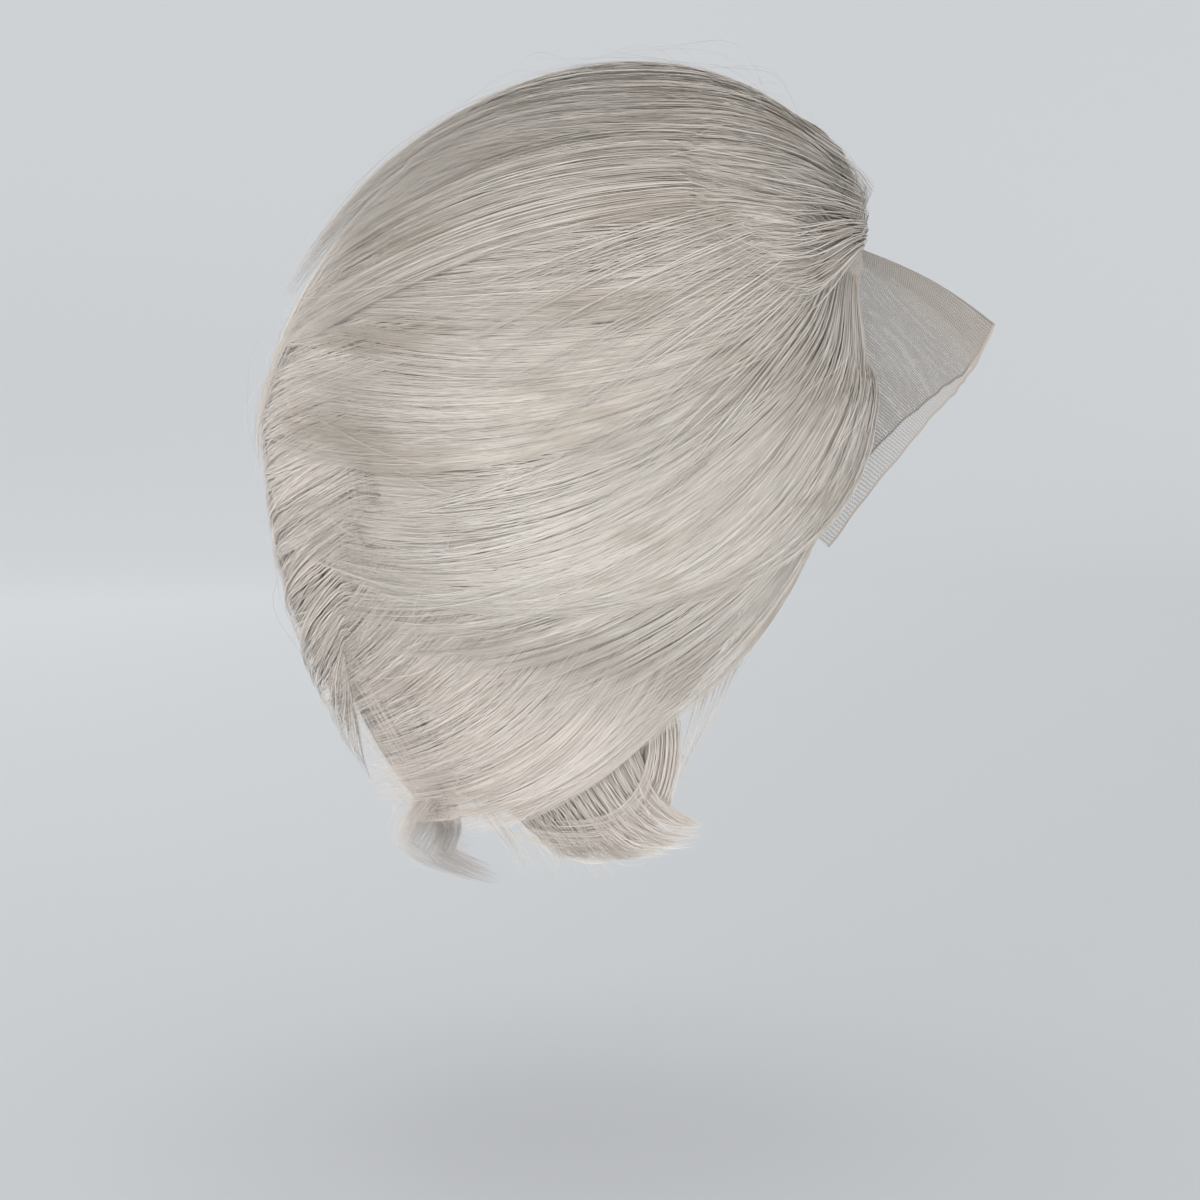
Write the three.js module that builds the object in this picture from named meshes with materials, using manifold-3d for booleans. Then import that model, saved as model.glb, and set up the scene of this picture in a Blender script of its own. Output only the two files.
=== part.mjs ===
// A lace front bob wig, as it sits on a head: a net cap, a sheer lace front and layered, swept-back hair.
// Millimetres. +X is forward, +Y is the wearer's left and +Z is up. The origin is the cap's inside at its top.
import * as THREE from "three";
import { mergeVertices } from "three/addons/utils/BufferGeometryUtils.js";
import Module from "manifold-3d";

// Head that the cap is sewn to fit: half sizes of an egg whose middle is HEAD.top below the crown. A fullness
// over 2 makes it squarer than an ellipsoid.
const HEAD = { length: 97, side: 76, top: 95, bottom: 130, fullness: 2.5 };
const CAP_WALL = 1.5;
const CAP_COLUMNS = 34;
const CAP_ROWS = 7;

// Lower edge of the cap: elevation seen from the head's middle, by azimuth from the front, in degrees.
const CAP_RIM = [
  { azimuth: 0, elevation: 34 },
  { azimuth: 30, elevation: 18 },
  { azimuth: 60, elevation: -16 },
  { azimuth: 74, elevation: -29 },
  { azimuth: 96, elevation: -17 },
  { azimuth: 125, elevation: -32 },
  { azimuth: 155, elevation: -44 },
  { azimuth: 180, elevation: -46 },
];

// Lace front: an untrimmed net sheet that stands forward of the hairline, with a ridge in its middle and a
// pleat beside it.
const LACE = {
  wall: 1,
  halfSpan: 60, // degrees of rim that it runs along, each side of the middle
  below: 1, // degrees from the rim down to its root
  ridge: { height: 5, spread: 20 },
  pleat: { azimuth: -9, height: 1.4 },
  columns: 32,
  rows: 5,
};

// Outer edge of the lace by azimuth of its root on the rim: how far forward and down of the root it is, and
// the share that is left of the root's distance from the middle.
const LACE_EDGE = [
  { azimuth: 0, reach: 60, drop: 33, across: 0.45 },
  { azimuth: 12, reach: 46, drop: 44, across: 0.45 },
  { azimuth: 30, reach: 40, drop: 37, across: 0.47 },
  { azimuth: 45, reach: 38, drop: 30, across: 0.54 },
  { azimuth: 60, reach: 36, drop: 32, across: 0.68 },
];

// Outer form of the dressed hair: an egg that leans forward towards its top, and is squarer than an ellipse
// from above.
const FORM = { x: -20, z: -105, lean: 0.2, length: 120, width: 106, top: 132, bottom: 190, fullness: 2.5 };

const CLEARANCE = 0.8; // between neighbouring pieces
const CORNER_SOFTNESS = 0.03; // steadies a clearance at a corner
const LONGEST_CORNER = 6; // most that a sharp corner sticks out of a clearance, in clearances
const CAP_GAP = 2; // from the cap to the inside of the hair
const ROOT_THICKNESS = 1.6; // of a hair layer where it is knotted to the cap
const TIP_THICKNESS = 0.3; // share of a layer's thickness that is left at its tips
const LIFT_AT = 0.07; // share of a strand's length where a lifted front stands highest
const LIFT_SPREAD = 0.09;
const FLICK_FROM = 0.6; // share of a strand's length where a flick starts
const THINS_FROM = 0.3; // share of a strand's length where a layer starts to thin
const TUCK_SPREAD = 0.3; // share of a layer's width over which a tuck fades
const TUCK_FADES_FROM = 0.5; // share of a strand's length where a tuck starts to fade
const UNEVEN_TIPS = 0.25; // half the share of a notch by which the tips of locks differ
const LOCK_TURN = 2.4; // radians from one lock's place in that difference to the next one's
const COLUMNS_PER_LOCK = 3;
const LAYER_ROWS = 9;
const ROOT_CROWDING = 1.6; // over 1 sets a layer's rows closer together at the roots
const MERGE_DISTANCE = 1e-3;
const HALVINGS = 30; // of the search for an azimuth on a curve
const HEIGHT_ROUNDS = 20; // of the search for the form's height seen from above

// Guide strands of the crown, seen from above as (x, y).
const CROWN_GUIDES = [
  { root: [94, -1], bend: [-10, -1], tip: [-124, -1] },
  { root: [95, -6], bend: [20, -34], tip: [-123, -16] },
  { root: [96, -12], bend: [45, -72], tip: [-118, -34] },
  { root: [96, -22], bend: [60, -116], tip: [-107, -54] },
];

// Hair layers, outermost first. Each guide is a strand drawn on the outer form, seen from the side as (x, z),
// from above as (x, y) or from behind as (y, z): it leaves its root, bends and ends at its tip. A layer with
// sides is drawn on the right and mirrored for the left. Rise is the share of a strand that climbs from the
// cap to the layer's depth, lift raises the front of a layer, flick turns out its ends and tuck takes its
// first locks under the layer above. Ridge is the height of a lock, and notch the share of its length that
// parts two tips.
const LAYERS = [
  {
    name: "crown",
    sides: ["right"],
    view: "top",
    guides: CROWN_GUIDES,
    shape: {
      locks: 6, depth: 0, thickness: 26, rise: 0.16,
      ridge: 3, notch: 0.07, lift: 0, flick: 4, tuck: 0,
    },
  },
  {
    name: "crown",
    sides: ["left"],
    view: "top",
    guides: CROWN_GUIDES,
    shape: {
      locks: 6, depth: 0, thickness: 26, rise: 0.03,
      ridge: 3, notch: 0.07, lift: 6, flick: 4, tuck: 0,
    },
  },
  {
    name: "sweep",
    sides: ["right", "left"],
    view: "side",
    guides: [
      { root: [96, -38], bend: [46, 38], tip: [-95, -32] },
      { root: [96, -40], bend: [0, -28], tip: [-120, -57] },
      { root: [96, -43], bend: [0, -94], tip: [-126, -66] },
      { root: [96, -45], bend: [-8, -118], tip: [-131, -92] },
      { root: [95, -47], bend: [-20, -140], tip: [-133, -112] },
    ],
    shape: {
      locks: 7, depth: 3, thickness: 20, rise: 0.18,
      ridge: 3, notch: 0.06, lift: 0, flick: 7, tuck: 8,
    },
  },
  {
    name: "wing",
    sides: ["right", "left"],
    view: "side",
    guides: [
      { root: [95, -46], bend: [-10, -124], tip: [-128, -98] },
      { root: [95, -49], bend: [-12, -172], tip: [-126, -136] },
      { root: [94, -52], bend: [24, -200], tip: [-112, -154] },
      { root: [93, -56], bend: [62, -192], tip: [-82, -164] },
      { root: [92, -60], bend: [92, -178], tip: [-50, -170] },
      { root: [90, -66], bend: [116, -158], tip: [-18, -175] },
    ],
    shape: {
      locks: 8, depth: 0, thickness: 18, rise: 0.16,
      ridge: 3, notch: 0.07, lift: 0, flick: 0, tuck: 14,
    },
  },
  {
    name: "side",
    sides: ["right", "left"],
    view: "side",
    guides: [
      { root: [-62, -112], bend: [-98, -152], tip: [-110, -184] },
      { root: [-35, -134], bend: [-79, -182], tip: [-106, -206] },
      { root: [-5, -150], bend: [-40, -212], tip: [-100, -232] },
      { root: [22, -152], bend: [-3, -242], tip: [-92, -251] },
      { root: [57, -148], bend: [28, -227], tip: [-54, -258] },
    ],
    shape: {
      locks: 8, depth: 7, thickness: 12, rise: 0.2,
      ridge: 3, notch: 0.08, lift: 0, flick: 5, tuck: 8,
    },
  },
  {
    name: "back_fall",
    sides: [],
    view: "back",
    guides: [
      { root: [-84, -66], bend: [-104, -150], tip: [-66, -200] },
      { root: [-56, -48], bend: [-72, -150], tip: [-48, -222] },
      { root: [-28, -36], bend: [-36, -150], tip: [-28, -228] },
      { root: [0, -32], bend: [0, -150], tip: [0, -230] },
      { root: [28, -36], bend: [36, -150], tip: [28, -228] },
      { root: [56, -48], bend: [72, -150], tip: [48, -222] },
      { root: [84, -66], bend: [104, -150], tip: [66, -200] },
    ],
    shape: {
      locks: 11, depth: 6, thickness: 14, rise: 0.2,
      ridge: 3, notch: 0.08, lift: 0, flick: -5, tuck: 0,
    },
  },
  {
    name: "nape_curl",
    sides: ["right", "left"],
    view: "side",
    guides: [
      { root: [-14, -160], bend: [16, -252], tip: [28, -251] },
      { root: [-36, -170], bend: [-2, -268], tip: [26, -258] },
      { root: [-56, -180], bend: [-20, -279], tip: [10, -266] },
      { root: [-76, -190], bend: [-50, -275], tip: [-12, -266] },
    ],
    shape: {
      locks: 5, depth: 14, thickness: 8, rise: 0.2,
      ridge: 2, notch: 0.08, lift: 0, flick: 20, tuck: 0,
    },
  },
  {
    name: "nape_flick",
    sides: [],
    view: "back",
    guides: [
      { root: [-60, -164], bend: [-78, -234], tip: [-54, -256] },
      { root: [-22, -172], bend: [-28, -256], tip: [-18, -280] },
      { root: [10, -174], bend: [10, -264], tip: [9, -291] },
      { root: [60, -164], bend: [76, -240], tip: [48, -268] },
    ],
    shape: {
      locks: 6, depth: 17, thickness: 8, rise: 0.2,
      ridge: 2, notch: 0.07, lift: 0, flick: 30, tuck: 0,
    },
  },
];

const HAIR_FINISH = { color: 0xe4ddd3, roughness: 0.5 };
const CAP_FINISH = { color: 0xcfc4b4, roughness: 0.9 };
const LACE_FINISH = { color: 0xb9b0a6, roughness: 0.8 };

const wasm = await Module();
wasm.setup();

const HEAD_MIDDLE = new THREE.Vector3(0, 0, -HEAD.top);
const radians = THREE.MathUtils.degToRad;
const { lerp, smoothstep } = THREE.MathUtils;

// Closed solids between two grids of points

// A closed sheet between an outer and an inner surface. Each surface gives a point for a column and a row
// from 0 to 1. The inner surface has one column for each group of outer ones.
function sheetGeometry(outer, inner, columns, rows, group = 1) {
  const positions = [];
  const innerColumns = columns / group;
  for (let c = 0; c <= columns; c++)
    for (let r = 0; r <= rows; r++) positions.push(...outer(c / columns, r / rows));
  for (let c = 0; c <= innerColumns; c++)
    for (let r = 0; r <= rows; r++) positions.push(...inner(c / innerColumns, r / rows));
  const index = [];
  const out = (c, r) => c * (rows + 1) + r;
  const into = (c, r) => (columns + 1 + c) * (rows + 1) + r;
  const quad = (a, b, c, d) => index.push(a, b, c, a, c, d);
  for (let r = 0; r < rows; r++) {
    for (let c = 0; c < columns; c++) quad(out(c, r), out(c + 1, r), out(c + 1, r + 1), out(c, r + 1));
    for (let c = 0; c < innerColumns; c++)
      quad(into(c, r), into(c, r + 1), into(c + 1, r + 1), into(c + 1, r));
    quad(out(0, r), out(0, r + 1), into(0, r + 1), into(0, r));
    quad(out(columns, r), into(innerColumns, r), into(innerColumns, r + 1), out(columns, r + 1));
  }
  for (let c = 0; c < columns; c++) {
    const near = Math.round((c + 0.5) / group);
    index.push(out(c, 0), into(near, 0), out(c + 1, 0));
    index.push(out(c, rows), out(c + 1, rows), into(near, rows));
  }
  for (let c = 0; c < innerColumns; c++) {
    const middle = Math.ceil((c + 0.5) * group - 0.5);
    index.push(out(middle, 0), into(c, 0), into(c + 1, 0));
    index.push(out(middle, rows), into(c + 1, rows), into(c, rows));
  }
  const geometry = new THREE.BufferGeometry();
  geometry.setAttribute("position", new THREE.Float32BufferAttribute(positions, 3));
  geometry.setIndex(index);
  return facingOut(mergeVertices(geometry, MERGE_DISTANCE));
}

// Turns the faces of a closed geometry over if they face its inside.
function facingOut(geometry) {
  const index = geometry.index.array;
  const corner = (i) => new THREE.Vector3().fromBufferAttribute(geometry.attributes.position, index[i]);
  let volume = 0;
  for (let i = 0; i < index.length; i += 3) volume += corner(i).dot(corner(i + 1).cross(corner(i + 2)));
  if (volume < 0)
    for (let i = 0; i < index.length; i += 3) [index[i + 1], index[i + 2]] = [index[i + 2], index[i + 1]];
  return geometry;
}

function mirrorGeometry(geometry) {
  return facingOut(geometry.clone().applyMatrix4(new THREE.Matrix4().makeScale(1, -1, 1)));
}

// The same geometry with each of its faces moved out by a distance, as nearly as its corners allow.
function grownGeometry(geometry, distance) {
  const index = geometry.index.array;
  const { position } = geometry.attributes;
  const points = [];
  for (let i = 0; i < position.count; i++) points.push(new THREE.Vector3().fromBufferAttribute(position, i));
  const outward = points.map(() => new THREE.Vector3());
  const spread = points.map(() => new THREE.Matrix3().multiplyScalar(CORNER_SOFTNESS));
  for (let i = 0; i < index.length; i += 3) {
    const corners = [...index.slice(i, i + 3)];
    const face = new THREE.Triangle(...corners.map((corner) => points[corner]));
    const normal = face.getNormal(new THREE.Vector3()).toArray();
    for (const corner of corners) {
      outward[corner].add(new THREE.Vector3(...normal));
      normal.forEach((a, r) => normal.forEach((b, c) => (spread[corner].elements[3 * r + c] += a * b)));
    }
  }
  const moved = points.map((point, i) => {
    const step = outward[i].applyMatrix3(spread[i].invert()).clampLength(0, LONGEST_CORNER);
    return point.clone().addScaledVector(step, distance);
  });
  return new THREE.BufferGeometry().setFromPoints(moved).setIndex(geometry.index.clone());
}

function solidOf(geometry) {
  const vertProperties = new Float32Array(geometry.attributes.position.array);
  const triVerts = new Uint32Array(geometry.index.array);
  return new wasm.Manifold(new wasm.Mesh({ numProp: 3, vertProperties, triVerts }));
}

function geometryOf(solid) {
  const { vertProperties, triVerts } = solid.getMesh();
  const geometry = new THREE.BufferGeometry();
  geometry.setAttribute("position", new THREE.BufferAttribute(vertProperties, 3));
  geometry.setIndex(new THREE.BufferAttribute(triVerts, 1));
  return geometry;
}

function largestBody(solid) {
  return solid.decompose().reduce((best, body) => (body.volume() > best.volume() ? body : best));
}

// Cap

// Point on the head's surface, or outside it by offset, in a direction given in degrees.
function headPoint(azimuth, elevation, offset) {
  const level = Math.cos(radians(elevation));
  const direction = new THREE.Vector3(
    level * Math.cos(radians(azimuth)),
    level * Math.sin(radians(azimuth)),
    Math.sin(radians(elevation)),
  );
  return direction.divideScalar(headShare(direction, offset)).add(HEAD_MIDDLE);
}

// How far out a point is, seen from the head's middle, as a share of the way to the surface at an offset.
function headShare(away, offset) {
  return powers(away, offset).reduce((sum, power) => sum + power) ** (1 / HEAD.fullness);
}

function powers(away, offset) {
  const sizes = [
    HEAD.length + offset,
    HEAD.side + offset,
    (away.z > 0 ? HEAD.top : HEAD.bottom) + offset,
  ];
  return away.toArray().map((value, i) => Math.abs(value / sizes[i]) ** HEAD.fullness);
}

// Values of a table's other columns at an azimuth of either sign, on smooth curves through its rows.
function atAzimuth(table, azimuth, ...columns) {
  const wanted = Math.abs(azimuth);
  return columns.map((column) => {
    const curve = new THREE.SplineCurve(table.map((row) => new THREE.Vector2(row.azimuth, row[column])));
    let [low, high] = [0, 1];
    for (let i = 0; i < HALVINGS; i++) {
      const middle = (low + high) / 2;
      if (curve.getPoint(middle).x < wanted) low = middle;
      else high = middle;
    }
    return curve.getPoint(low).y;
  });
}

const rimElevation = (azimuth) => atAzimuth(CAP_RIM, azimuth, "elevation")[0];

function capGeometry() {
  const surface = (offset) => (column, row) => {
    const azimuth = 180 - 360 * column;
    return headPoint(azimuth, lerp(90, rimElevation(azimuth), row), offset);
  };
  const geometry = sheetGeometry(surface(CAP_WALL), surface(0), CAP_COLUMNS, CAP_ROWS);
  return closeRing(geometry);
}

// Drops the two coincident end walls where a sheet's first column meets its last, and collapsed triangles.
function closeRing(geometry) {
  const seen = new Map();
  const index = geometry.index.array;
  const kept = [];
  const key = (i) => [index[i], index[i + 1], index[i + 2]].sort((a, b) => a - b).join();
  for (let i = 0; i < index.length; i += 3) seen.set(key(i), (seen.get(key(i)) ?? 0) + 1);
  for (let i = 0; i < index.length; i += 3) {
    const corners = new Set([index[i], index[i + 1], index[i + 2]]);
    if (corners.size === 3 && seen.get(key(i)) === 1) kept.push(...index.slice(i, i + 3));
  }
  geometry.setIndex(kept);
  return geometry;
}

// Lace front

function laceGeometry() {
  const surface = (offset) => (column, row) => {
    const azimuth = LACE.halfSpan * (1 - 2 * column);
    const rim = headPoint(azimuth, rimElevation(azimuth), CAP_WALL / 2);
    const start = headPoint(azimuth, rimElevation(azimuth) - LACE.below, CAP_WALL / 2);
    const [reach, drop, across] = atAzimuth(LACE_EDGE, azimuth, "reach", "drop", "across");
    const edge = new THREE.Vector3(rim.x + reach, rim.y * across, rim.z - drop);
    const outward = rim.clone().sub(HEAD_MIDDLE).normalize();
    const bulge = Math.sin(Math.PI * row);
    const ridge = LACE.ridge.height * bulge * Math.exp(-Math.abs(azimuth) / LACE.ridge.spread);
    const isPleat = offset > 0 && azimuth < 0 && azimuth > LACE.pleat.azimuth;
    const pleat = isPleat ? LACE.pleat.height * bulge : 0;
    return start.lerp(edge, row).addScaledVector(outward, offset + ridge + pleat);
  };
  return sheetGeometry(surface(LACE.wall / 2), surface(-LACE.wall / 2), LACE.columns, LACE.rows);
}

// Hair

const formMiddleX = (z) => FORM.x + FORM.lean * Math.max(0, z - FORM.z);
const formHeight = (z) => (z - FORM.z) / (z > FORM.z ? FORM.top : FORM.bottom);
const restOf = (whole, part, power) => Math.max(0, whole ** power - Math.abs(part) ** power) ** (1 / power);

// Point on the outer form from its two coordinates in a view.
const formPoint = {
  side(x, z) {
    const level = restOf(1, formHeight(z), 2);
    const share = restOf(level, (x - formMiddleX(z)) / FORM.length, FORM.fullness);
    return new THREE.Vector3(x, -FORM.width * share, z);
  },
  top(x, y) {
    let z = 0;
    for (let i = 0; i < HEIGHT_ROUNDS; i++) {
      const lengthways = Math.abs((x - formMiddleX(z)) / FORM.length) ** FORM.fullness;
      const sideways = Math.abs(y / FORM.width) ** FORM.fullness;
      z = FORM.z + FORM.top * restOf(1, (lengthways + sideways) ** (1 / FORM.fullness), 2);
    }
    return new THREE.Vector3(x, y, z);
  },
  back(y, z) {
    const share = restOf(restOf(1, formHeight(z), 2), y / FORM.width, FORM.fullness);
    return new THREE.Vector3(formMiddleX(z) - FORM.length * share, y, z);
  },
};

// The way into the hair from a point: towards the head's middle, or level with it lower down.
function inwardOf(point) {
  return new THREE.Vector3(0, 0, Math.min(point.z, HEAD_MIDDLE.z)).sub(point).normalize();
}

// Depth from a point to the outside of the cap, or of the head where the cap has ended.
function depthToHead(point) {
  const away = point.clone().sub(HEAD_MIDDLE);
  if (away.z >= 0) return away.length() * (1 - 1 / headShare(away, CAP_WALL));
  const [lengthways, sideways, upright] = powers(away, CAP_WALL);
  const level = Math.max(0, 1 - upright) / (lengthways + sideways);
  return Math.hypot(away.x, away.y) * (1 - level ** (1 / HEAD.fullness));
}

// Strand of a layer, from 0 to 1 across its guides and from 0 at the root to 1 at the tip.
function strandPoint(layer) {
  const ends = (end) => layer.guides.map((guide) => new THREE.Vector2(...guide[end]));
  const through = (end) => new THREE.SplineCurve(ends(end));
  const [roots, bends, tips] = ["root", "bend", "tip"].map(through);
  return (across, along) => {
    const strand = [roots, bends, tips].map((curve) => curve.getPoint(across));
    const drawn = new THREE.QuadraticBezierCurve(...strand).getPoint(along);
    return formPoint[layer.view](drawn.x, drawn.y);
  };
}

// A layer of hair: locks side by side, ridged along their length and with separate tips, or its envelope with
// no ridges.
function layerGeometry(layer, isEnvelope) {
  const { locks, depth, thickness, rise, ridge, notch, lift, flick, tuck } = layer.shape;
  const onForm = strandPoint(layer);
  const surface = (isOuter) => (column, row) => {
    const swell = Math.abs(Math.sin(Math.PI * column * locks));
    const lock = Math.floor(column * locks);
    const uneven = UNEVEN_TIPS * (1 + Math.sin(LOCK_TURN * lock + 1)) * swell;
    const along = row ** ROOT_CROWDING * (1 - notch * (1 - swell + uneven));
    const point = onForm(column, along);
    const limit = depthToHead(point) - CAP_GAP;
    const free = smoothstep(along, 0, rise);
    const lifted = lift * Math.exp(-(((along - LIFT_AT) / LIFT_SPREAD) ** 2));
    const flicked = flick * smoothstep(along, FLICK_FROM, 1);
    const fading = (1 - smoothstep(column, 0, TUCK_SPREAD)) * (1 - smoothstep(along, TUCK_FADES_FROM, 1));
    const level = depth + tuck * fading + ridge - (flicked + lifted);
    const valley = Math.min(lerp(limit, level, free), limit) - ROOT_THICKNESS;
    const thick = thickness * free * lerp(1, TIP_THICKNESS, smoothstep(along, THINS_FROM, 1));
    const height = ridge * free * (isEnvelope && row < 1 ? 1 : swell);
    const inner = Math.min(valley + ROOT_THICKNESS + thick, limit);
    return point.addScaledVector(inwardOf(point), isOuter ? valley - height : inner);
  };
  const columns = locks * COLUMNS_PER_LOCK;
  return sheetGeometry(surface(true), surface(false), columns, LAYER_ROWS, COLUMNS_PER_LOCK);
}

// Assembly

function namedMesh(name, geometry, finish) {
  const mesh = new THREE.Mesh(geometry, new THREE.MeshStandardMaterial({ ...finish, metalness: 0 }));
  mesh.name = name;
  return mesh;
}

const wig = new THREE.Group();
const cap = capGeometry();
const lace = laceGeometry();
wig.add(namedMesh("cap", cap, CAP_FINISH));
wig.add(namedMesh("lace_front", lace, LACE_FINISH));

// Room that the pieces so far take up, their clearance included. Left and right are the same in it, so the
// two crowns are both made before either takes up room.
const roomOf = (geometry) => solidOf(grownGeometry(geometry, CLEARANCE));
const taken = [roomOf(cap), roomOf(lace)];
const waiting = [];
for (const layer of LAYERS) {
  if (layer.name !== "crown") taken.push(...waiting.splice(0));
  const hair = taken.reduce((solid, room) => solid.subtract(room), solidOf(layerGeometry(layer, false)));
  const geometry = geometryOf(largestBody(hair));
  const envelope = layerGeometry(layer, true);
  if (layer.sides.length === 0) wig.add(namedMesh(layer.name, geometry, HAIR_FINISH));
  for (const side of layer.sides) {
    const placed = side === "left" ? mirrorGeometry(geometry) : geometry;
    wig.add(namedMesh(layer.name + "_" + side, placed, HAIR_FINISH));
  }
  waiting.push(roomOf(envelope), roomOf(mirrorGeometry(envelope)));
}

export default wig;
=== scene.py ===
# %% [markdown]
# # A lace front bob wig
# The wig is hair on a net cap, with a strip of sheer lace in front of the hairline. It is shown as it is
# worn, so the cap is round and the hair falls freely. This lesson loads the solids that fix every size, sets
# up the picture, and then makes the hair, the cap and the lace, one after the other.

# %% Load the solids
import math

import bpy
import numpy as np
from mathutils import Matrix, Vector


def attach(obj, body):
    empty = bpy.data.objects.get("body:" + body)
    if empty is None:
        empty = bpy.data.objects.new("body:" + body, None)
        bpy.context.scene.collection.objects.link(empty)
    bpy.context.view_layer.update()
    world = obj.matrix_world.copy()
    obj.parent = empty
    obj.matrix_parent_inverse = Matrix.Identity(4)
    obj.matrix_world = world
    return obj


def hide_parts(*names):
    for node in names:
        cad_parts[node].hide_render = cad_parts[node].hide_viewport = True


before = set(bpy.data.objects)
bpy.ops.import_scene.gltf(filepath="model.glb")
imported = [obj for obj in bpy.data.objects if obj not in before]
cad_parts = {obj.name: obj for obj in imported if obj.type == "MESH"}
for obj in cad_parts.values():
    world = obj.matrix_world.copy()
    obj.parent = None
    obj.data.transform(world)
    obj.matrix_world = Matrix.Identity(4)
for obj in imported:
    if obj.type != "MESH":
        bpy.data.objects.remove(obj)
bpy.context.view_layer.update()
print("solids:", sorted(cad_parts))

# %% [markdown]
# ## The camera
# A long lens from about a metre away keeps the sides of the wig nearly parallel. The camera looks down a few
# degrees, so its place comes from the spot that it aims at, a distance and a pitch.

# %% Camera
AIM = (-0.007, 0.0, -0.177)
DISTANCE = 1.053
PITCH = math.radians(7.5)
camera_data = bpy.data.cameras.new("camera")
camera_data.sensor_width = 36
camera_data.lens = 81
camera = bpy.data.objects.new("camera", camera_data)
bpy.context.scene.collection.objects.link(camera)
camera.location = (AIM[0], AIM[1] - DISTANCE * math.cos(PITCH), AIM[2] + DISTANCE * math.sin(PITCH))
camera.rotation_euler = (math.pi / 2 - PITCH, 0, 0)
bpy.context.scene.camera = camera
print("camera at", [round(value, 3) for value in camera.location])

# %% [markdown]
# ## Floor and light
# Pale hair shows its strands only if the light comes from one side. A large soft lamp stands at the left of
# the camera, a weaker one fills from the right, one above lights the crown and one behind lights the back.
# The floor curves up into a wall all round, so that no edge shows behind the hair from any side. Three of the
# lamps stand outside that wall, so it casts no shadow.

# %% A mesh from arrays of points and faces
def mesh_object(name, points, faces, flat_map=None):
    mesh = bpy.data.meshes.new(name)
    mesh.from_pydata(np.asarray(points, float).tolist(), [], np.asarray(faces).tolist())
    if flat_map is not None:
        layer = mesh.uv_layers.new(name="OFBake")
        corners = np.empty(len(mesh.loops), np.int32)
        mesh.loops.foreach_get("vertex_index", corners)
        layer.uv.foreach_set("vector", np.asarray(flat_map, np.float32)[corners].ravel())
    mesh.polygons.foreach_set("use_smooth", [True] * len(mesh.polygons))
    made = bpy.data.objects.new(name, mesh)
    bpy.context.scene.collection.objects.link(made)
    return made


def grid_faces(columns, rows):
    column, row = np.meshgrid(np.arange(columns), np.arange(rows), indexing="ij")
    corner = column * (rows + 1) + row
    faces = [corner, corner + rows + 1, corner + rows + 2, corner + 1]
    return np.stack([face.ravel() for face in faces], 1)


print("mesh helpers ready")

# %% Floor that curves up into a wall all round
def new_material(name):
    """A new material, its node tree and its shader."""
    material = bpy.data.materials.new(name)
    material.use_nodes = True
    return material, material.node_tree, material.node_tree.nodes["Principled BSDF"]


FLOOR_Z = -0.392
FLOOR_RADIUS = 1.7
CURVE = 0.6
CURVE_STEPS = 12
WALL_TOP = 3.4
FLOOR_TURNS = 64
FLOOR_HOLE = 0.00001
profile = [(FLOOR_HOLE, 0.0), (FLOOR_RADIUS / 2, 0.0)]
for step in range(CURVE_STEPS + 1):
    turn = math.pi / 2 * step / CURVE_STEPS
    profile.append((FLOOR_RADIUS + CURVE * math.sin(turn), CURVE - CURVE * math.cos(turn)))
profile.append((FLOOR_RADIUS + CURVE, WALL_TOP))
floor_points = []
for step in range(FLOOR_TURNS + 1):
    turn = 2 * math.pi * step / FLOOR_TURNS
    floor_points += [(r * math.cos(turn), r * math.sin(turn), FLOOR_Z + z) for r, z in profile]
floor = mesh_object("floor", floor_points, grid_faces(FLOOR_TURNS, len(profile) - 1))
floor.visible_diffuse = False
floor.visible_shadow = False
floor_finish, _, shader = new_material("pale_floor")
shader.inputs["Base Color"].default_value = (0.66, 0.68, 0.70, 1)
shader.inputs["Roughness"].default_value = 0.8
floor.data.materials.append(floor_finish)
print("floor at", FLOOR_Z)

# %% Lamps
LAMPS = [
    # name, place, size, watts
    ("key", (-1.6, -3.3, -0.1), 3.0, 88),
    ("fill", (3.0, -2.4, 0.2), 3.2, 34),
    ("top", (0.2, 0.0, 2.6), 2.4, 10),
    ("back", (-1.6, 3.4, 0.6), 3.2, 60),
]
for name, place, size, watts in LAMPS:
    lamp_data = bpy.data.lights.new(name, "AREA")
    lamp_data.size = size
    lamp_data.energy = watts
    lamp = bpy.data.objects.new(name, lamp_data)
    lamp.location = place
    lamp.visible_camera = False
    towards = np.array(AIM) - np.array(place)
    lamp.rotation_euler = Vector(towards).to_track_quat("-Z", "Y").to_euler()
    bpy.context.scene.collection.objects.link(lamp)
world = bpy.data.worlds.new("room")
world.use_nodes = True
background = world.node_tree.nodes["Background"]
background.inputs["Color"].default_value = (0.97, 0.975, 0.985, 1)
background.inputs["Strength"].default_value = 0.6
scene = bpy.context.scene
scene.world = world
scene.view_settings.view_transform = "Standard"
scene.cycles.max_bounces = 3
scene.cycles.diffuse_bounces = 1
scene.cycles.glossy_bounces = 1
scene.cycles.transparent_max_bounces = 8
print("lamps:", [name for name, *_ in LAMPS])

# %% [markdown]
# ## The shapes under the hair
# The cap is sewn to a round form, and the hair lies on a larger egg outside it. Both are written as formulas,
# in millimetres, with the sizes of the solids. A strand is drawn on the outer egg and then pushed in by a
# depth, so that every lock knows how far it is from the cap.

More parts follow.
